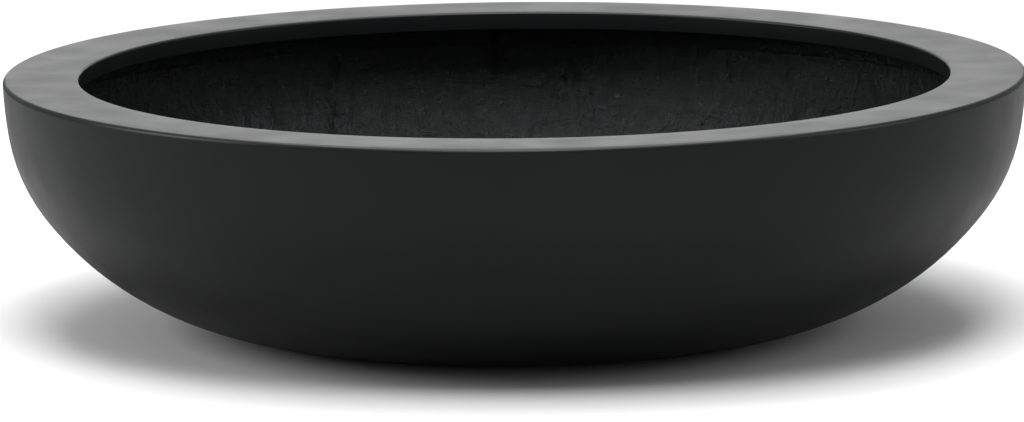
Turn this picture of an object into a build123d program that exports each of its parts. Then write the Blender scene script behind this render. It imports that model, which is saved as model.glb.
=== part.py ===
from build123d import *
from math import asin, cos, degrees, radians, sin, tan
import os

# A low bowl planter in glass-reinforced plastic, in millimetres. It turns about the Z axis
# and stands on rubber pads at z = 0. Sections are drawn with X as the radius and Y as the
# height.
BOWL_RADIUS = 600.0
BOWL_HEIGHT = 300.0
LAMINATE = 5.0
PAD_HEIGHT = 4.0

# The side is three arcs that run into each other, from the rim down to the base ring. Each
# slope is the lean of the wall from straight down, in degrees, where an arc begins.
SHOULDER_RADIUS = 518.0
BELLY_RADIUS = 204.0
SWEEP_RADIUS = 355.0
SHOULDER_SLOPE = 2.2
BELLY_SLOPE = 8.9
SWEEP_SLOPE = 36.8

# The rim is a wide top that falls a little towards the mouth, with a lip turned down at the
# mouth and a skirt that plugs into the shell. The skirt's foot is bevelled.
RIM_ROUND = 5.0
RIM_FALL = 0.9
MOUTH_RADIUS = 511.3
MOUTH_ROUND = 3.0
LIP_DEPTH = 22.9
LIP_LEAN = 3.0
LIP_FOOT_ROUND = 1.5
SKIRT_DEPTH = 18.0
SKIRT_THICKNESS = 4.0
CORNER_ROUND = 4.0
SEAM_HEIGHT = BOWL_HEIGHT - RIM_ROUND
SKIRT_FOOT = SEAM_HEIGHT - SKIRT_DEPTH
SKIRT_BEVEL_TOP = SKIRT_FOOT + SKIRT_THICKNESS
SKIRT_INSET = LAMINATE + SKIRT_THICKNESS

# Strip of glass mat laminated over the inside of the joint between the rim and the shell.
# Both its edges are feathered out.
STRIP_THICKNESS = 2.0
STRIP_TOP = SEAM_HEIGHT - 6.0
STRIP_BOTTOM = 247.0
STRIP_FEATHER = 4.0

# The base stands on a flat ring round a shallow moulded recess with sloping sides.
RECESS_RADIUS = 250.0
RECESS_DEPTH = 6.0
RECESS_ROUND = 4.0
RECESS_ROOF = PAD_HEIGHT + RECESS_DEPTH
RECESS_FLOOR = RECESS_ROOF + LAMINATE

# Plywood stiffener on the middle of the floor, with a bevelled edge, and the laminate that
# seals it in.
PLY_RADIUS = 150.0
PLY_THICKNESS = 12.0
PLY_BEVEL = 6.0
OVERLAY_THICKNESS = 2.5
OVERLAY_RADIUS = 172.0
OVERLAY_TOP = RECESS_FLOOR + PLY_THICKNESS + OVERLAY_THICKNESS

# Drain holes through the bare floor outside the stiffener, and the ribbed rubber plugs that
# close them and are pulled out by a knob.
DRAIN_COUNT = 4
DRAIN_CIRCLE = 200.0
DRAIN_FIRST_ANGLE = 0.0
DRAIN_RADIUS = 12.7
STEM_RADIUS = 11.7
STEM_LENGTH = 9.5
TIP_RADIUS = 10.2
TIP_LENGTH = 2.0
RIB_RADIUS = 12.5
RIB_HEIGHT = 2.4
RIB_PITCH = 3.3
RIB_COUNT = 2
HEAD_RADIUS = 19.0
HEAD_EDGE = 1.6
HEAD_BEVEL = 0.8
HEAD_CROWN = 3.5
NECK_RADIUS = 4.6
NECK_TOP = 7.0
KNOB_RADIUS = 8.0
KNOB_TOP = 11.0
KNOB_BEVEL = 1.2

# Rubber pads stuck under the base ring.
PAD_COUNT = 6
PAD_RADIUS = 20.0
PAD_BEVEL = 1.0
PAD_CIRCLE = 281.0


def arc_centre(start, radius, slope):
    """Centre of a side arc that leaves a point with the wall at this slope."""
    return (start[0] - radius * cos(radians(slope)), start[1] + radius * sin(radians(slope)))


def arc_point(centre, radius, slope):
    """Point of a side arc where the wall has this slope."""
    return (centre[0] + radius * cos(radians(slope)), centre[1] - radius * sin(radians(slope)))


SHOULDER_CENTRE = arc_centre((BOWL_RADIUS, SEAM_HEIGHT), SHOULDER_RADIUS, SHOULDER_SLOPE)
BELLY_START = arc_point(SHOULDER_CENTRE, SHOULDER_RADIUS, BELLY_SLOPE)
BELLY_CENTRE = arc_centre(BELLY_START, BELLY_RADIUS, BELLY_SLOPE)
SWEEP_START = arc_point(BELLY_CENTRE, BELLY_RADIUS, SWEEP_SLOPE)
SWEEP_CENTRE = arc_centre(SWEEP_START, SWEEP_RADIUS, SWEEP_SLOPE)


def slope_at(centre, radius, height):
    """Slope of a side arc at this height."""
    return degrees(asin((centre[1] - height) / radius))


def side_arc(centre, radius, upper_slope, lower_slope):
    """Stretch of a side arc between two slopes."""
    return CenterArc(centre, radius, -upper_slope, upper_slope - lower_slope)


def side_arcs(inset, bottom):
    """The whole side from the seam down to this height, moved into the wall by the inset."""
    shoulder = SHOULDER_RADIUS - inset
    belly = BELLY_RADIUS - inset
    sweep = SWEEP_RADIUS - inset
    top_slope = slope_at(SHOULDER_CENTRE, shoulder, SEAM_HEIGHT)
    bottom_slope = slope_at(SWEEP_CENTRE, sweep, bottom)
    return [
        side_arc(SHOULDER_CENTRE, shoulder, top_slope, BELLY_SLOPE),
        side_arc(BELLY_CENTRE, belly, BELLY_SLOPE, SWEEP_SLOPE),
        side_arc(SWEEP_CENTRE, sweep, SWEEP_SLOPE, bottom_slope),
    ]


def shoulder_arc(inset, top, bottom):
    """Stretch of the shoulder between two heights, moved into the wall by the inset."""
    radius = SHOULDER_RADIUS - inset
    top_slope = slope_at(SHOULDER_CENTRE, radius, top)
    bottom_slope = slope_at(SHOULDER_CENTRE, radius, bottom)
    return side_arc(SHOULDER_CENTRE, radius, top_slope, bottom_slope)


def round_corners(section, points, radius):
    """Round the section's corners that lie at these points."""
    corners = [section.vertices().sort_by_distance(Vector(*point))[0] for point in points]
    return fillet(corners, radius)


def turned(section):
    """Solid swept by a section once round the Z axis."""
    return revolve(Plane.XZ * section, Axis.Z)


def drain_holes(bottom, top):
    """Cylinders on the drain circle between two heights, to cut the drain holes with."""
    cutter = Cylinder(DRAIN_RADIUS, top - bottom, align=(Align.CENTER, Align.CENTER, Align.MIN))
    return PolarLocations(DRAIN_CIRCLE, DRAIN_COUNT, DRAIN_FIRST_ANGLE) * (Pos(0, 0, bottom) * cutter)


def bowl_shell():
    """Moulded bowl of even thickness: side, base ring, recessed floor and drain holes."""
    outer = side_arcs(0.0, PAD_HEIGHT)
    inner = side_arcs(LAMINATE, PAD_HEIGHT + LAMINATE)
    mitre = LAMINATE * tan(radians(45.0 / 2.0))
    step_foot = (RECESS_RADIUS, PAD_HEIGHT)
    step_head = (RECESS_RADIUS - RECESS_DEPTH, RECESS_ROOF)
    inner_head = (step_head[0] + mitre, RECESS_FLOOR)
    inner_foot = (step_foot[0] + mitre, PAD_HEIGHT + LAMINATE)
    underside = Polyline(outer[2] @ 1, step_foot, step_head, (0.0, RECESS_ROOF))
    middle = Line((0.0, RECESS_ROOF), (0.0, RECESS_FLOOR))
    floor = Polyline((0.0, RECESS_FLOOR), inner_head, inner_foot, inner[2] @ 1)
    top_edge = Line(inner[0] @ 0, outer[0] @ 0)
    section = make_face([*outer, underside, middle, floor, *inner, top_edge])
    section = round_corners(section, [step_foot, step_head, inner_head, inner_foot], RECESS_ROUND)
    return turned(section) - drain_holes(PAD_HEIGHT, RECESS_FLOOR + LAMINATE)


def rim_ring():
    """Moulded rim: rounded outer edge, wide top, turned-down lip and skirt inside the shell."""
    outer_round = CenterArc((BOWL_RADIUS - RIM_ROUND, SEAM_HEIGHT), RIM_ROUND, 0.0, 90.0)
    skirt_outside = shoulder_arc(LAMINATE, SEAM_HEIGHT, SKIRT_FOOT)
    skirt_inside = shoulder_arc(SKIRT_INSET, SEAM_HEIGHT, SKIRT_BEVEL_TOP)
    bevel = Line(skirt_inside @ 1, skirt_outside @ 1)
    seat = Line(skirt_outside @ 0, (BOWL_RADIUS, SEAM_HEIGHT))
    mouth_top = (MOUTH_RADIUS, BOWL_HEIGHT - RIM_FALL)
    lip_foot = (MOUTH_RADIUS + LIP_LEAN, BOWL_HEIGHT - LIP_DEPTH)
    lip_foot_back = (lip_foot[0] + LAMINATE, lip_foot[1])
    root_lean = LIP_LEAN * (RIM_FALL + LAMINATE) / LIP_DEPTH
    lip_root = (MOUTH_RADIUS + LAMINATE + root_lean, mouth_top[1] - LAMINATE)
    skirt_root = skirt_inside @ 0
    top = Polyline(outer_round @ 1, mouth_top, lip_foot, lip_foot_back, lip_root, skirt_root)
    section = make_face([outer_round, top, skirt_inside, bevel, skirt_outside, seat])
    section = round_corners(section, [mouth_top], MOUTH_ROUND)
    section = round_corners(section, [lip_foot, lip_foot_back], LIP_FOOT_ROUND)
    section = round_corners(section, [lip_root, skirt_root], CORNER_ROUND)
    return turned(section)


def rim_tie_strip():
    """Mat strip that lies on the skirt, over its bevelled foot and down the wall."""
    strip_inset = LAMINATE + STRIP_THICKNESS
    on_skirt = shoulder_arc(SKIRT_INSET, STRIP_TOP, SKIRT_BEVEL_TOP)
    on_wall = shoulder_arc(LAMINATE, SKIRT_FOOT, STRIP_BOTTOM)
    over_skirt = shoulder_arc(
        SKIRT_INSET + STRIP_THICKNESS, STRIP_TOP - STRIP_FEATHER, SKIRT_BEVEL_TOP
    )
    over_wall = shoulder_arc(strip_inset, SKIRT_FOOT, STRIP_BOTTOM + STRIP_FEATHER)
    on_bevel = Line(on_skirt @ 1, on_wall @ 0)
    over_bevel = Line(over_skirt @ 1, over_wall @ 0)
    top_feather = Line(on_skirt @ 0, over_skirt @ 0)
    bottom_feather = Line(on_wall @ 1, over_wall @ 1)
    outside = [on_skirt, on_bevel, on_wall]
    inside = [over_skirt, over_bevel, over_wall]
    return turned(make_face([*outside, bottom_feather, *inside, top_feather]))


def base_ply_disc():
    """Plywood disc on the floor, bevelled round its top edge."""
    section = make_face(
        Polyline(
            (0.0, RECESS_FLOOR),
            (PLY_RADIUS, RECESS_FLOOR),
            (PLY_RADIUS, RECESS_FLOOR + PLY_THICKNESS - PLY_BEVEL),
            (PLY_RADIUS - PLY_BEVEL, RECESS_FLOOR + PLY_THICKNESS),
            (0.0, RECESS_FLOOR + PLY_THICKNESS),
            close=True,
        )
    )
    return turned(section)


def base_overlay():
    """Laminate over the plywood, down its edge and out onto the floor round it."""
    mitre = OVERLAY_THICKNESS * tan(radians(45.0 / 2.0))
    ply_shoulder = RECESS_FLOOR + PLY_THICKNESS - PLY_BEVEL
    section = make_face(
        Polyline(
            (0.0, OVERLAY_TOP - OVERLAY_THICKNESS),
            (PLY_RADIUS - PLY_BEVEL, OVERLAY_TOP - OVERLAY_THICKNESS),
            (PLY_RADIUS, ply_shoulder),
            (PLY_RADIUS, RECESS_FLOOR),
            (OVERLAY_RADIUS, RECESS_FLOOR),
            (OVERLAY_RADIUS - OVERLAY_THICKNESS, RECESS_FLOOR + OVERLAY_THICKNESS),
            (PLY_RADIUS + OVERLAY_THICKNESS, RECESS_FLOOR + OVERLAY_THICKNESS),
            (PLY_RADIUS + OVERLAY_THICKNESS, ply_shoulder + mitre),
            (PLY_RADIUS - PLY_BEVEL + mitre, OVERLAY_TOP),
            (0.0, OVERLAY_TOP),
            close=True,
        )
    )
    return turned(section)


def stem_outline():
    """Outline of the plug's stem from its tip up to height zero, with the barbed ribs."""
    points = [(0.0, -STEM_LENGTH), (TIP_RADIUS, -STEM_LENGTH)]
    points.append((STEM_RADIUS, TIP_LENGTH - STEM_LENGTH))
    for number in reversed(range(RIB_COUNT)):
        foot = -(number + 1) * RIB_PITCH
        points.append((STEM_RADIUS, foot))
        points.append((RIB_RADIUS, foot + RIB_HEIGHT))
        points.append((STEM_RADIUS, foot + RIB_HEIGHT))
    return [*points, (STEM_RADIUS, 0.0)]


def drain_plug():
    """Rubber plug with its head's underside at height zero: ribbed stem, crown and knob."""
    head = [
        (HEAD_RADIUS, 0.0),
        (HEAD_RADIUS, HEAD_EDGE - HEAD_BEVEL),
        (HEAD_RADIUS - HEAD_BEVEL, HEAD_EDGE),
        (NECK_RADIUS, HEAD_CROWN),
        (NECK_RADIUS, NECK_TOP),
    ]
    knob = [
        (KNOB_RADIUS, NECK_TOP),
        (KNOB_RADIUS, KNOB_TOP - KNOB_BEVEL),
        (KNOB_RADIUS - KNOB_BEVEL, KNOB_TOP),
        (0.0, KNOB_TOP),
    ]
    return turned(make_face(Polyline(*stem_outline(), *head, *knob, close=True)))


def foot_pad():
    """Round rubber pad, standing at height zero, with its lower edge bevelled."""
    pad = Cylinder(PAD_RADIUS, PAD_HEIGHT, align=(Align.CENTER, Align.CENTER, Align.MIN))
    return chamfer(pad.edges().sort_by(Axis.Z)[0], PAD_BEVEL)


def write(name, solid):
    """Write one piece to its own file."""
    export_step(solid, os.path.join("parts", name + ".step"))


os.makedirs("parts", exist_ok=True)
write("bowl_shell", bowl_shell())
write("rim_ring", rim_ring())
write("rim_tie_strip", rim_tie_strip())
write("base_ply_disc", base_ply_disc())
write("base_overlay", base_overlay())
drain_places = PolarLocations(DRAIN_CIRCLE, DRAIN_COUNT, DRAIN_FIRST_ANGLE)
for number, place in enumerate(drain_places, start=1):
    write(f"drain_plug_{number}", place * Pos(0, 0, RECESS_FLOOR) * drain_plug())
for number, place in enumerate(PolarLocations(PAD_CIRCLE, PAD_COUNT), start=1):
    write(f"foot_pad_{number}", place * foot_pad())
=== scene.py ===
import bpy
import random
from math import asin, cos, hypot, pi, radians, sin, sqrt, tan

import numpy as np
from mathutils import Matrix, Vector, noise


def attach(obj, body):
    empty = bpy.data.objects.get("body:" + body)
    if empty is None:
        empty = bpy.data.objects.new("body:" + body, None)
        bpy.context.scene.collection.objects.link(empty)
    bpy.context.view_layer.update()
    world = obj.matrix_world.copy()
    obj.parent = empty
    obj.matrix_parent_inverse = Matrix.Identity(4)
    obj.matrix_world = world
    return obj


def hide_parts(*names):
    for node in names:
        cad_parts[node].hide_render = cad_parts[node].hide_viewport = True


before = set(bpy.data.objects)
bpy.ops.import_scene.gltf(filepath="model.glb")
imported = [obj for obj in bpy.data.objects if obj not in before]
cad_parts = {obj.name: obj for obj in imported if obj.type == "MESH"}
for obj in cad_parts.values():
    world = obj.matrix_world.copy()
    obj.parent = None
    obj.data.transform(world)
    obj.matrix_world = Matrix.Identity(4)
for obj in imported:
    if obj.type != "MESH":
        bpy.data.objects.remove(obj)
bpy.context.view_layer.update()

# Studio. A long lens looks over the near rim from nine times the bowl's width away. A pale
# floor and a white surround hold the bowl, and square soft lamps light it from above, from
# in front, from behind, where the rim mirrors one, and from both sides.
CAMERA_DISTANCE = 10.8
CAMERA_HEIGHT = 1.873
CAMERA_PITCH = 0.15965
CAMERA_ROLL = 0.00986
CAMERA_TURN = 0.0004
LENS_MM = 326.8
SENSOR_MM = 36.0
FLOOR_SIZE = 40.0
FLOOR_WHITE = 0.86
FLOOR_BOUNCE = 0.36
SURROUND_LIGHT = 0.3
SOFT_LAMPS = (
    ("overhead_lamp", (0.0, 0.3, 3.4), (0.0, 0.0, 0.2), 3.2, 150.0),
    ("front_lamp", (0.0, -2.9, 4.4), (0.0, -0.4, 0.0), 2.4, 150.0),
    ("back_lamp", (0.0, 5.0, 1.9), (0.0, 0.0, 0.3), 3.4, 33.0),
    ("left_lamp", (-3.2, -0.6, 1.6), (0.0, 0.0, 0.2), 1.8, 48.0),
    ("right_lamp", (3.2, -0.6, 1.6), (0.0, 0.0, 0.2), 1.8, 18.0),
)


def add_camera():
    """The photograph's own view: a little above the rim, with the left side a touch low."""
    data = bpy.data.cameras.new("photo_camera")
    data.lens = LENS_MM
    data.sensor_width = SENSOR_MM
    data.clip_end = 200.0
    camera = bpy.data.objects.new("photo_camera", data)
    bpy.context.scene.collection.objects.link(camera)
    place = Matrix.Translation((0.0, -CAMERA_DISTANCE, CAMERA_HEIGHT))
    turn = Matrix.Rotation(CAMERA_TURN, 4, "Z")
    tilt = Matrix.Rotation(pi / 2.0 - CAMERA_PITCH, 4, "X")
    camera.matrix_world = place @ turn @ tilt @ Matrix.Rotation(-CAMERA_ROLL, 4, "Z")
    bpy.context.scene.camera = camera


def add_surround():
    """White to the camera, and a softer white as light and in reflections."""
    world = bpy.data.worlds.new("white_surround")
    world.use_nodes = True
    tree = world.node_tree
    tree.nodes.clear()
    path = tree.nodes.new("ShaderNodeLightPath")
    light = tree.nodes.new("ShaderNodeBackground")
    light.inputs["Color"].default_value = (1.0, 1.0, 1.0, 1.0)
    light.inputs["Strength"].default_value = SURROUND_LIGHT
    backdrop = tree.nodes.new("ShaderNodeBackground")
    backdrop.inputs["Color"].default_value = (1.0, 1.0, 1.0, 1.0)
    mix = tree.nodes.new("ShaderNodeMixShader")
    tree.links.new(path.outputs["Is Camera Ray"], mix.inputs["Fac"])
    tree.links.new(light.outputs[0], mix.inputs[1])
    tree.links.new(backdrop.outputs[0], mix.inputs[2])
    output = tree.nodes.new("ShaderNodeOutputWorld")
    tree.links.new(mix.outputs[0], output.inputs["Surface"])
    bpy.context.scene.world = world


def add_floor():
    """Wide pale floor, level with the undersides of the pads, that bounces little light."""
    bpy.ops.object.select_all(action="DESELECT")
    bpy.ops.mesh.primitive_plane_add(size=FLOOR_SIZE)
    floor = bpy.context.object
    floor.name = "pale_floor"
    paint = bpy.data.materials.new("pale_floor_paint")
    paint.use_nodes = True
    tree = paint.node_tree
    shader = tree.nodes["Principled BSDF"]
    path = tree.nodes.new("ShaderNodeLightPath")
    paleness = tree.nodes.new("ShaderNodeMapRange")
    paleness.inputs["To Min"].default_value = FLOOR_BOUNCE
    paleness.inputs["To Max"].default_value = FLOOR_WHITE
    tree.links.new(path.outputs["Is Camera Ray"], paleness.inputs["Value"])
    tree.links.new(paleness.outputs["Result"], shader.inputs["Base Color"])
    shader.inputs["Roughness"].default_value = 0.9
    shader.inputs["Specular IOR Level"].default_value = 0.0
    floor.data.materials.append(paint)


def add_soft_lamp(name, place, target, size, power):
    """Square soft lamp that looks at a point."""
    data = bpy.data.lights.new(name, "AREA")
    data.shape = "SQUARE"
    data.size = size
    data.energy = power
    lamp = bpy.data.objects.new(name, data)
    aim = (Vector(target) - Vector(place)).to_track_quat("-Z", "Y")
    lamp.matrix_world = Matrix.Translation(place) @ aim.to_matrix().to_4x4()
    bpy.context.scene.collection.objects.link(lamp)


bpy.context.scene.view_settings.view_transform = "Standard"
add_camera()
add_surround()
add_floor()
for lamp_name, lamp_place, lamp_target, lamp_size, lamp_power in SOFT_LAMPS:
    add_soft_lamp(lamp_name, lamp_place, lamp_target, lamp_size, lamp_power)


# Bowl moulding. One skin of glass mat and polyester resin, 5 mm thick, laid by hand into a
# polished mould: a smooth charcoal gel coat outside, and inside the rough mat brushed with
# dark resin, with its lumps, runs and creases. It stands on its base ring by rubber pads.
BOWL_RADIUS = 0.6
SEAM_HEIGHT = 0.295
LAMINATE = 0.005
UNDERSIDE = 0.004
SIDE_ARCS = ((0.518, 2.2), (0.204, 8.9), (0.355, 36.8))
RECESS_RADIUS = 0.25
RECESS_DEPTH = 0.006
DRAIN_RADIUS = 0.0127
DRAIN_CIRCLE = 0.2
DRAIN_ANGLES = (0.0, 90.0, 180.0, 270.0)
PLUG_SEAT_RADIUS = 0.021
BARE_FLOOR_RADIUS = 0.168
AROUND = 640
INSIDE_STEP = 0.005
OUTSIDE_STEP = 0.016
LAY_UP_SEED = 11
RUN_COUNT = 330
LEVEL_REACH = 0.312
DRIP_ANGLE = -2.3
DRIP_HEIGHTS = (0.263, 0.249, 0.232, 0.217)
PATCH_ANGLE = 7.0
PATCH_HEIGHT = 0.187
PATCH_HALF_WIDTH = 0.062
PATCH_HALF_HEIGHT = 0.045
PATCH_FOLD = 0.005


def side_centres():
    """Centre of each of the side's three arcs, which run into each other."""
    point = (BOWL_RADIUS, SEAM_HEIGHT)
    centres = []
    for number, (radius, slope) in enumerate(SIDE_ARCS):
        lean = radians(slope)
        centre = (point[0] - radius * cos(lean), point[1] + radius * sin(lean))
        centres.append(centre)
        if number + 1 < len(SIDE_ARCS):
            lean = radians(SIDE_ARCS[number + 1][1])
            point = (centre[0] + radius * cos(lean), centre[1] - radius * sin(lean))
    return centres


def side_points(inset, top, bottom, step):
    """Points down the side, moved into the wall by the inset, about a step apart."""
    centres = side_centres()
    points = []
    for number, (radius, slope) in enumerate(SIDE_ARCS):
        arc = radius - inset
        centre = centres[number]
        start = radians(slope)
        if number == 0:
            start = asin((centre[1] - top) / arc)
        if number + 1 < len(SIDE_ARCS):
            end = radians(SIDE_ARCS[number + 1][1])
        else:
            end = asin((centre[1] - bottom) / arc)
        count = max(2, round((end - start) * arc / step))
        for place in range(count):
            lean = start + (end - start) * place / count
            points.append((centre[0] + arc * cos(lean), centre[1] - arc * sin(lean)))
    points.append((centre[0] + arc * cos(end), centre[1] - arc * sin(end)))
    return points


def straight_points(start, end, step):
    """Points along a straight stretch of a section, without its first one."""
    count = max(1, round(hypot(end[0] - start[0], end[1] - start[1]) / step))
    along = end[0] - start[0]
    up = end[1] - start[1]
    shares = [place / count for place in range(1, count + 1)]
    return [(start[0] + along * share, start[1] + up * share) for share in shares]


def turn_section(name, points, around, closed=False):
    """A ring pulled along a section, one extrusion and one scaling for each of its points."""
    bpy.ops.object.select_all(action="DESELECT")
    radius, height = points[0]
    bpy.ops.mesh.primitive_circle_add(vertices=around, radius=radius, location=(0.0, 0.0, height))
    piece = bpy.context.object
    piece.name = name
    bpy.ops.object.transform_apply(location=True, rotation=True, scale=True)
    bpy.ops.object.mode_set(mode="EDIT")
    bpy.ops.mesh.select_all(action="SELECT")
    for next_radius, next_height in points[1:]:
        lift = (0.0, 0.0, next_height - height)
        bpy.ops.mesh.extrude_edges_move(TRANSFORM_OT_translate={"value": lift})
        share = next_radius / radius
        bpy.ops.transform.resize(value=(share, share, 1.0), center_override=(0.0, 0.0, 0.0))
        radius, height = next_radius, next_height
    if closed:
        bpy.ops.mesh.select_all(action="SELECT")
        bpy.ops.mesh.remove_doubles(threshold=1e-6)
    bpy.ops.object.mode_set(mode="OBJECT")
    return piece


def close_ends(piece):
    """Fill the first and the last ring of a turned piece, each with one flat face."""
    bpy.ops.object.mode_set(mode="EDIT")
    bpy.ops.mesh.select_all(action="DESELECT")
    bpy.ops.mesh.select_mode(type="EDGE")
    bpy.ops.mesh.select_non_manifold(extend=False)
    bpy.ops.mesh.fill_holes(sides=0)
    bpy.ops.mesh.select_mode(type="VERT")
    bpy.ops.object.mode_set(mode="OBJECT")


def face_outwards(piece):
    """Turn every face of a closed piece outwards."""
    bpy.ops.object.mode_set(mode="EDIT")
    bpy.ops.mesh.select_all(action="SELECT")
    bpy.ops.mesh.normals_make_consistent(inside=False)
    bpy.ops.object.mode_set(mode="OBJECT")


def drill_drains(piece, bottom, top):
    """Bore the four drain holes through a piece between two heights."""
    for angle in DRAIN_ANGLES:
        bpy.ops.object.select_all(action="DESELECT")
        place = (DRAIN_CIRCLE * cos(radians(angle)), DRAIN_CIRCLE * sin(radians(angle)))
        bpy.ops.mesh.primitive_cylinder_add(
            vertices=48, radius=DRAIN_RADIUS, depth=top - bottom,
            location=(place[0], place[1], (top + bottom) / 2.0),
        )
        drill = bpy.context.object
        bpy.ops.object.select_all(action="DESELECT")
        piece.select_set(True)
        bpy.context.view_layer.objects.active = piece
        bore = piece.modifiers.new("drain_bore", "BOOLEAN")
        bore.operation = "DIFFERENCE"
        bore.solver = "EXACT"
        bore.object = drill
        bpy.ops.object.modifier_apply(modifier=bore.name)
        bpy.data.objects.remove(drill)


def run_shapes():
    """Resin lumps and runs of the lay-up: place round the bowl, height, width, length, relief."""
    chance = random.Random(LAY_UP_SEED)
    shapes = []
    for _ in range(RUN_COUNT):
        angle = chance.uniform(-pi, pi)
        height = chance.uniform(0.03, 0.275)
        width = chance.uniform(0.0028, 0.0055)
        length = width * chance.choice((1.0, 1.2, 1.6, 2.4, 5.0))
        shapes.append((angle, height, width, length, chance.uniform(0.0010, 0.0034)))
    for height in DRIP_HEIGHTS:
        shapes.append((radians(DRIP_ANGLE), height, 0.0062, 0.0065, 0.0060))
    shapes.append((radians(DRIP_ANGLE), 0.24, 0.0026, 0.03, 0.0012))
    return shapes


def crease_shapes():
    """Creases of the mat: both ends, how much it wanders, width and relief."""
    return [
        ((-22.2, 0.232), (-23.0, 0.155), 0.0035, 0.0050, -0.0045),
        ((22.4, 0.266), (22.5, 0.229), 0.0012, 0.0050, 0.0030),
        ((33.4, 0.238), (38.0, 0.170), 0.0015, 0.0050, 0.0030),
        ((46.8, 0.242), (50.9, 0.196), 0.0015, 0.0050, 0.0026),
        ((-55.0, 0.225), (-49.0, 0.175), 0.0030, 0.0045, 0.0012),
        ((118.0, 0.240), (124.0, 0.150), 0.0040, 0.0040, 0.0022),
        ((-140.0, 0.250), (-134.0, 0.190), 0.0030, 0.0040, 0.0018),
    ]


def lay_up_relief(points):
    """How far the lay-up stands off its even thickness at each point of the inside."""
    angle = np.arctan2(points[:, 0], points[:, 1])
    height = points[:, 2]
    reach = np.hypot(points[:, 0], points[:, 1])
    relief = np.zeros(len(points))
    for number, point in enumerate(points):
        place = Vector(point)
        relief[number] = 0.0008 * noise.noise(place * 9.0) + 0.0007 * noise.noise(place * 38.0)
        relief[number] += 0.0006 * noise.noise(place * 95.0)
    for run_angle, run_height, width, length, depth in run_shapes():
        across = np.abs((angle - run_angle + pi) % (2.0 * pi) - pi) * reach
        near = (across < 4.0 * width) & (np.abs(height - run_height) < 4.0 * length)
        bump = np.exp(-((across[near] / width) ** 2) - ((height[near] - run_height) / length) ** 2)
        relief[near] += depth * bump
    for (top_angle, top), (foot_angle, foot), wander, width, depth in crease_shapes():
        share = np.clip((top - height) / (top - foot), 0.0, 1.0)
        middle = np.radians(top_angle + (foot_angle - top_angle) * share)
        sway = wander * np.sin(share * 11.0) + 0.4 * wander * np.sin(share * 29.0)
        across = ((angle - middle + pi) % (2.0 * pi) - pi) * reach - sway
        beyond = np.maximum(0.0, np.maximum(height - top, foot - height))
        relief += depth * np.exp(-((across / width) ** 2) - (beyond / width) ** 2)
    across = (angle - radians(PATCH_ANGLE)) * reach
    up = height - PATCH_HEIGHT
    patch = np.exp(-((across / PATCH_HALF_WIDTH) ** 4) - (up / PATCH_HALF_HEIGHT) ** 4)
    for number in np.nonzero(patch > 0.02)[0]:
        place = Vector(points[number])
        fold = noise.noise(place * 70.0) + 0.7 * noise.noise(place * 140.0)
        relief[number] += patch[number] * PATCH_FOLD * abs(fold)
    return relief


def vertex_values(piece, name):
    """One row for each vertex of a piece: its place or its normal."""
    values = np.empty(len(piece.data.vertices) * 3)
    piece.data.vertices.foreach_get(name, values)
    return values.reshape(-1, 3)


def roughen(piece, chosen, relief_of):
    """Push the chosen points of a piece out along their normals by the lay-up's relief."""
    places = vertex_values(piece, "co")
    normals = vertex_values(piece, "normal")
    picked = np.nonzero(chosen(places))[0]
    places[picked] += normals[picked] * relief_of(places[picked])[:, None]
    piece.data.vertices.foreach_set("co", places.reshape(-1))
    piece.data.update()


def new_material(name):
    """Empty node material and its shader."""
    material = bpy.data.materials.new(name)
    material.use_nodes = True
    return material, material.node_tree, material.node_tree.nodes["Principled BSDF"]


def object_noise(tree, scale, detail=4.0, stretch=(1.0, 1.0, 1.0), roughness=0.5):
    """Noise over the piece's own coordinates, in metres."""
    place = tree.nodes.new("ShaderNodeTexCoord")
    mapping = tree.nodes.new("ShaderNodeMapping")
    mapping.inputs["Scale"].default_value = stretch
    tree.links.new(place.outputs["Object"], mapping.inputs["Vector"])
    texture = tree.nodes.new("ShaderNodeTexNoise")
    texture.inputs["Scale"].default_value = scale
    texture.inputs["Detail"].default_value = detail
    texture.inputs["Roughness"].default_value = roughness
    tree.links.new(mapping.outputs["Vector"], texture.inputs["Vector"])
    return texture.outputs["Fac"]


def remapped(tree, value, low, high, out_low, out_high):
    """A value spread over a new range, held inside it."""
    node = tree.nodes.new("ShaderNodeMapRange")
    node.inputs["From Min"].default_value = low
    node.inputs["From Max"].default_value = high
    node.inputs["To Min"].default_value = out_low
    node.inputs["To Max"].default_value = out_high
    tree.links.new(value, node.inputs["Value"])
    return node.outputs["Result"]


def colour_between(tree, share, dark, pale):
    """Colour that runs from a dark one to a pale one."""
    node = tree.nodes.new("ShaderNodeMix")
    node.data_type = "RGBA"
    node.inputs["A"].default_value = (*dark, 1.0)
    node.inputs["B"].default_value = (*pale, 1.0)
    tree.links.new(share, node.inputs["Factor"])
    return node.outputs["Result"]


def added(tree, first, second, weight):
    """A value plus a share of another."""
    node = tree.nodes.new("ShaderNodeMath")
    node.operation = "MULTIPLY_ADD"
    node.inputs[1].default_value = weight
    tree.links.new(second, node.inputs[0])
    tree.links.new(first, node.inputs[2])
    return node.outputs[0]


def raised(tree, shader, height, distance, strength):
    """Bump from a height, given to the shader."""
    node = tree.nodes.new("ShaderNodeBump")
    node.inputs["Distance"].default_value = distance
    node.inputs["Strength"].default_value = strength
    tree.links.new(height, node.inputs["Height"])
    tree.links.new(node.outputs["Normal"], shader.inputs["Normal"])


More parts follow.
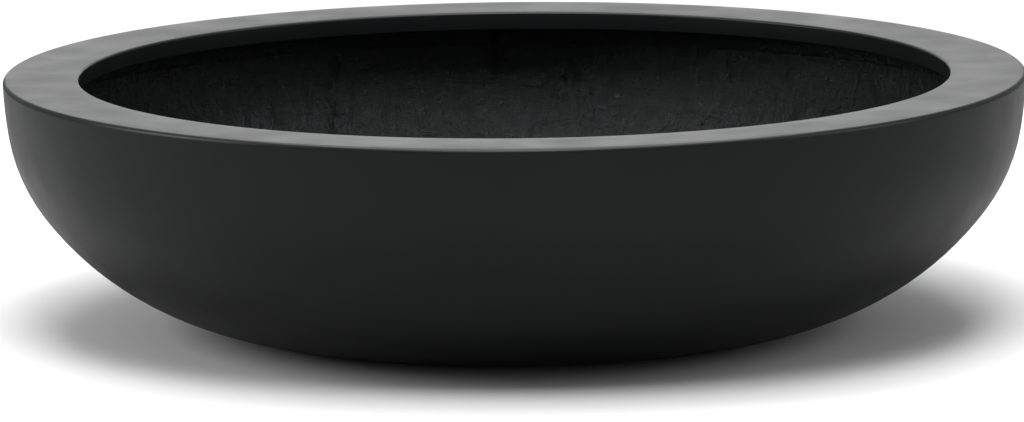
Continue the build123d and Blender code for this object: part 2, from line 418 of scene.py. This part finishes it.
def gel_coat():
    """Satin charcoal gel coat: cloudy polish, fine peel and a trace of dust."""
    material, tree, shader = new_material("charcoal_gel_coat")
    cloud = object_noise(tree, 5.0, 3.0)
    speck = object_noise(tree, 900.0, 2.0)
    shade = added(tree, cloud, speck, 0.25)
    share = remapped(tree, shade, 0.35, 0.85, 0.0, 1.0)
    colour = colour_between(tree, share, (0.0060, 0.0070, 0.0073), (0.0085, 0.0094, 0.0097))
    tree.links.new(colour, shader.inputs["Base Color"])
    polish = remapped(tree, object_noise(tree, 14.0, 5.0), 0.3, 0.7, 0.30, 0.38)
    tree.links.new(polish, shader.inputs["Roughness"])
    shader.inputs["IOR"].default_value = 1.32
    peel = added(tree, object_noise(tree, 260.0, 2.0), object_noise(tree, 45.0, 2.0), 1.5)
    raised(tree, shader, peel, 0.00012, 0.35)
    return material


def hand_laid_mat():
    """Glass mat brushed with dark resin: crossing strands, pits and pools of gloss."""
    material, tree, shader = new_material("hand_laid_mat")
    cloud = object_noise(tree, 16.0, 6.0, roughness=0.6)
    share = remapped(tree, cloud, 0.35, 0.7, 0.0, 1.0)
    colour = colour_between(tree, share, (0.0008, 0.0020, 0.0023), (0.0030, 0.0052, 0.0058))
    tree.links.new(colour, shader.inputs["Base Color"])
    gloss = remapped(tree, object_noise(tree, 60.0, 4.0), 0.35, 0.65, 0.26, 0.50)
    tree.links.new(gloss, shader.inputs["Roughness"])
    shader.inputs["IOR"].default_value = 1.38
    strands = object_noise(tree, 150.0, 6.0, (1.0, 1.0, 0.22), 0.65)
    crossing = object_noise(tree, 150.0, 6.0, (0.25, 0.25, 1.3), 0.65)
    lumps = object_noise(tree, 55.0, 3.0)
    height = added(tree, added(tree, strands, crossing, 0.9), lumps, 1.6)
    raised(tree, shader, height, 0.0030, 0.9)
    return material


def bowl_moulding():
    """Section from the seam down the outside, under the base and back up the inside."""
    outside = side_points(0.0, SEAM_HEIGHT, UNDERSIDE, OUTSIDE_STEP)
    mitre = LAMINATE * tan(radians(22.5))
    roof = UNDERSIDE + RECESS_DEPTH
    floor = roof + LAMINATE
    underside = [(RECESS_RADIUS, UNDERSIDE), (RECESS_RADIUS - RECESS_DEPTH, roof)]
    inside = side_points(LAMINATE, SEAM_HEIGHT, UNDERSIDE + LAMINATE, INSIDE_STEP)
    inner_foot = (RECESS_RADIUS + mitre, UNDERSIDE + LAMINATE)
    inner_head = (RECESS_RADIUS - RECESS_DEPTH + mitre, floor)
    level = straight_points(inside[-1], inner_foot, INSIDE_STEP)
    bare_floor = straight_points(inner_head, (BARE_FLOOR_RADIUS, floor), INSIDE_STEP)
    whole = underside[::-1] + outside[::-1] + inside + level + [inner_head] + bare_floor
    piece = turn_section("bowl_moulding", whole, AROUND)
    close_ends(piece)
    face_outwards(piece)
    return piece


def on_the_inside(places):
    """Points of the moulding that lie on its inner wall and on its floor."""
    reach = np.hypot(places[:, 0], places[:, 1])
    centres = side_centres()
    inside = np.zeros(len(places), bool)
    for number, (radius, slope) in enumerate(SIDE_ARCS):
        out = reach - centres[number][0]
        down = centres[number][1] - places[:, 2]
        from_centre = np.hypot(out, down)
        lean = np.degrees(np.arctan2(down, out))
        last = SIDE_ARCS[number + 1][1] if number + 1 < len(SIDE_ARCS) else 90.0
        on_arc = (lean >= slope - 0.5) & (lean <= last + 0.5)
        inside |= on_arc & (np.abs(from_centre - (radius - LAMINATE)) < 0.001)
    floor = UNDERSIDE + RECESS_DEPTH + LAMINATE
    level = (np.abs(places[:, 2] - UNDERSIDE - LAMINATE) < 0.0005) & (reach < LEVEL_REACH)
    level |= (np.abs(places[:, 2] - floor) < 0.0005) & (reach < RECESS_RADIUS)
    return (inside | level) & (places[:, 2] < SEAM_HEIGHT - 0.001)


def rough_inside(places):
    """Points of the inside that the plugs' heads don't seat on."""
    rough = on_the_inside(places)
    for angle in DRAIN_ANGLES:
        hole = (DRAIN_CIRCLE * cos(radians(angle)), DRAIN_CIRCLE * sin(radians(angle)))
        rough &= np.hypot(places[:, 0] - hole[0], places[:, 1] - hole[1]) > PLUG_SEAT_RADIUS
    return rough


moulding = bowl_moulding()
drill_drains(moulding, 0.0, 0.03)
inside_mask = on_the_inside(vertex_values(moulding, "co"))
roughen(moulding, rough_inside, lay_up_relief)
moulding.data.materials.append(gel_coat())
moulding.data.materials.append(hand_laid_mat())
for face in moulding.data.polygons:
    if all(inside_mask[corner] for corner in face.vertices):
        face.material_index = 1
bpy.ops.object.select_all(action="DESELECT")
moulding.select_set(True)
bpy.context.view_layer.objects.active = moulding
bpy.ops.object.shade_smooth_by_angle(angle=radians(30.0))
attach(moulding, "planter")
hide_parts("bowl_shell")


# Rim. A second moulding, glued and laminated onto the bowl's top edge: a wide top that falls
# a little towards the mouth, a rounded outer edge, and a lip turned down at the mouth. Its
# skirt plugs into the bowl. It has the same satin gel coat on every side that shows.
RIM_TOP = 0.3
RIM_ROUND = 0.005
RIM_FALL = 0.0009
MOUTH_RADIUS = 0.5113
MOUTH_ROUND = 0.003
LIP_DEPTH = 0.0229
LIP_LEAN = 0.003
LIP_FOOT_ROUND = 0.0015
SKIRT_DEPTH = 0.018
SKIRT_THICKNESS = 0.004
RIM_AROUND = 512


def round_points(centre, radius, start, end, count):
    """Points round a corner of a section, from one angle in degrees to another."""
    angles = [radians(start + (end - start) * place / count) for place in range(count + 1)]
    return [(centre[0] + radius * cos(a), centre[1] + radius * sin(a)) for a in angles]


def shoulder_at(inset, height):
    """Point on the bowl's shoulder at this height, moved into the wall by the inset."""
    centre = side_centres()[0]
    arc = SIDE_ARCS[0][0] - inset
    return (centre[0] + sqrt(arc * arc - (centre[1] - height) ** 2), height)


def rim_section():
    """Closed section: outer round, top, mouth round, lip, underside, skirt and seat."""
    lip_slope = LIP_LEAN / LIP_DEPTH
    outer = round_points((BOWL_RADIUS - RIM_ROUND, SEAM_HEIGHT), RIM_ROUND, 0.0, 90.0, 8)
    mouth_height = RIM_TOP - RIM_FALL
    mouth_centre = (MOUTH_RADIUS + MOUTH_ROUND, mouth_height - MOUTH_ROUND)
    mouth = round_points(mouth_centre, MOUTH_ROUND, 90.0, 180.0, 6)
    foot_height = RIM_TOP - LIP_DEPTH
    foot_radius = MOUTH_RADIUS + LIP_LEAN
    front = (foot_radius + LIP_FOOT_ROUND, foot_height + LIP_FOOT_ROUND)
    back = (foot_radius + LAMINATE - LIP_FOOT_ROUND, foot_height + LIP_FOOT_ROUND)
    foot = round_points(front, LIP_FOOT_ROUND, 180.0, 270.0, 4)
    foot += round_points(back, LIP_FOOT_ROUND, 270.0, 360.0, 4)
    under = mouth_height - LAMINATE
    root = (MOUTH_RADIUS + LAMINATE + lip_slope * (RIM_FALL + LAMINATE), under)
    skirt_inset = LAMINATE + SKIRT_THICKNESS
    skirt_foot = SEAM_HEIGHT - SKIRT_DEPTH
    skirt = [
        shoulder_at(skirt_inset, SEAM_HEIGHT),
        shoulder_at(skirt_inset, skirt_foot + SKIRT_THICKNESS),
        shoulder_at(LAMINATE, skirt_foot),
        shoulder_at(LAMINATE, SEAM_HEIGHT),
    ]
    top = straight_points(outer[-1], mouth[0], 0.02)
    return outer + top[:-1] + mouth + foot + [root] + skirt + [outer[0]]


rim = turn_section("rim_moulding", rim_section(), RIM_AROUND, closed=True)
face_outwards(rim)
rim.data.materials.append(bpy.data.materials["charcoal_gel_coat"])
bpy.ops.object.shade_smooth_by_angle(angle=radians(35.0))
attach(rim, "planter")
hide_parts("rim_ring")


# Tie strip. Glass mat laminated by hand over the inside of the joint between rim and bowl,
# brushed with the same dark resin as the rest of the inside, and feathered at both edges.
STRIP_THICKNESS = 0.002
STRIP_TOP = 0.289
STRIP_BOTTOM = 0.247
STRIP_FEATHER = 0.004
STRIP_AROUND = 640


def strip_section():
    """Closed section that lies on the skirt, over its bevelled foot and down the wall."""
    skirt_inset = LAMINATE + SKIRT_THICKNESS
    skirt_foot = SEAM_HEIGHT - SKIRT_DEPTH
    bevel_top = skirt_foot + SKIRT_THICKNESS
    wall_heights = (skirt_foot, 0.271, 0.265, 0.259, STRIP_BOTTOM + STRIP_FEATHER)
    front = [
        shoulder_at(skirt_inset + STRIP_THICKNESS, STRIP_TOP - STRIP_FEATHER),
        shoulder_at(skirt_inset + STRIP_THICKNESS, bevel_top),
    ]
    front += [shoulder_at(LAMINATE + STRIP_THICKNESS, height) for height in wall_heights]
    back = [
        shoulder_at(LAMINATE, STRIP_BOTTOM),
        shoulder_at(LAMINATE, skirt_foot),
        shoulder_at(skirt_inset, bevel_top),
        shoulder_at(skirt_inset, STRIP_TOP),
    ]
    return front + back + [front[0]]


strip = turn_section("tie_strip_mat", strip_section(), STRIP_AROUND, closed=True)
face_outwards(strip)
strip.data.materials.append(bpy.data.materials["hand_laid_mat"])
bpy.ops.object.shade_smooth_by_angle(angle=radians(40.0))
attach(strip, "planter")
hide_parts("rim_tie_strip")


# Stiffened floor. A plywood disc bedded on the floor of the bowl and sealed in with a layer
# of mat and resin that runs down its bevelled edge. The drain holes lie outside it.
PLY_RADIUS = 0.15
PLY_THICKNESS = 0.012
PLY_BEVEL = 0.006
OVERLAY_THICKNESS = 0.0025
OVERLAY_RADIUS = 0.172
FLOOR_HEIGHT = 0.015
OVERLAY_AROUND = 384


def plywood():
    """Pale veneers with fine straight grain."""
    material, tree, shader = new_material("floor_plywood")
    grain = object_noise(tree, 60.0, 6.0, (0.06, 1.0, 4.0), 0.6)
    colour = colour_between(tree, grain, (0.36, 0.22, 0.11), (0.62, 0.45, 0.27))
    tree.links.new(colour, shader.inputs["Base Color"])
    tree.links.new(remapped(tree, grain, 0.3, 0.7, 0.55, 0.75), shader.inputs["Roughness"])
    raised(tree, shader, grain, 0.0004, 0.5)
    return material


def overlay_section():
    """Section from the middle of the top out over the edge, to the floor and back."""
    mitre = OVERLAY_THICKNESS * tan(radians(22.5))
    ply_top = FLOOR_HEIGHT + PLY_THICKNESS
    top = ply_top + OVERLAY_THICKNESS
    ply_shoulder = ply_top - PLY_BEVEL
    corner = (PLY_RADIUS - PLY_BEVEL + mitre, top)
    over = [(0.004, top)] + straight_points((0.004, top), corner, 0.006)
    down = [
        (PLY_RADIUS + OVERLAY_THICKNESS, ply_shoulder + mitre),
        (PLY_RADIUS + OVERLAY_THICKNESS, FLOOR_HEIGHT + OVERLAY_THICKNESS),
    ]
    edge = (OVERLAY_RADIUS - OVERLAY_THICKNESS, FLOOR_HEIGHT + OVERLAY_THICKNESS)
    skirt = straight_points(down[-1], edge, 0.006)
    back = [
        (OVERLAY_RADIUS, FLOOR_HEIGHT),
        (PLY_RADIUS, FLOOR_HEIGHT),
        (PLY_RADIUS, ply_shoulder),
        (PLY_RADIUS - PLY_BEVEL, ply_top),
    ]
    return over + down + skirt + back


def on_overlay_top(places):
    """Points of the overlay's upper faces."""
    reach = np.hypot(places[:, 0], places[:, 1])
    return (places[:, 2] > 0.0285) | ((reach > PLY_RADIUS + 0.002) & (places[:, 2] > 0.017))


def overlay_relief(points):
    """The mat's lumps, lower than on the wall."""
    return 0.45 * lay_up_relief(points)


overlay = turn_section("floor_overlay_mat", overlay_section(), OVERLAY_AROUND)
close_ends(overlay)
face_outwards(overlay)
roughen(overlay, on_overlay_top, overlay_relief)
overlay.data.materials.append(bpy.data.materials["hand_laid_mat"])
bpy.ops.object.select_all(action="DESELECT")
overlay.select_set(True)
bpy.context.view_layer.objects.active = overlay
bpy.ops.object.shade_smooth_by_angle(angle=radians(40.0))
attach(overlay, "planter")
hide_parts("base_overlay")


def finish_node(node, material):
    """Give a carried-over piece its material."""
    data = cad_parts[node].data
    data.materials.clear()
    data.materials.append(material)


finish_node("base_ply_disc", plywood())


# Plugs and pads. Moulded black rubber: four ribbed plugs that push into the drain holes from
# inside, each with a knob to pull it out by, and six round pads stuck under the base ring.
def black_rubber():
    """Matt rubber with a fine grain and pale scuffs."""
    material, tree, shader = new_material("black_rubber")
    scuff = remapped(tree, object_noise(tree, 120.0, 6.0, roughness=0.7), 0.5, 0.75, 0.0, 1.0)
    colour = colour_between(tree, scuff, (0.012, 0.012, 0.0125), (0.034, 0.034, 0.033))
    tree.links.new(colour, shader.inputs["Base Color"])
    tree.links.new(remapped(tree, scuff, 0.0, 1.0, 0.62, 0.8), shader.inputs["Roughness"])
    raised(tree, shader, object_noise(tree, 1800.0, 2.0), 0.0001, 0.4)
    return material


rubber = black_rubber()
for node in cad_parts:
    if node.startswith(("drain_plug", "foot_pad")):
        finish_node(node, rubber)
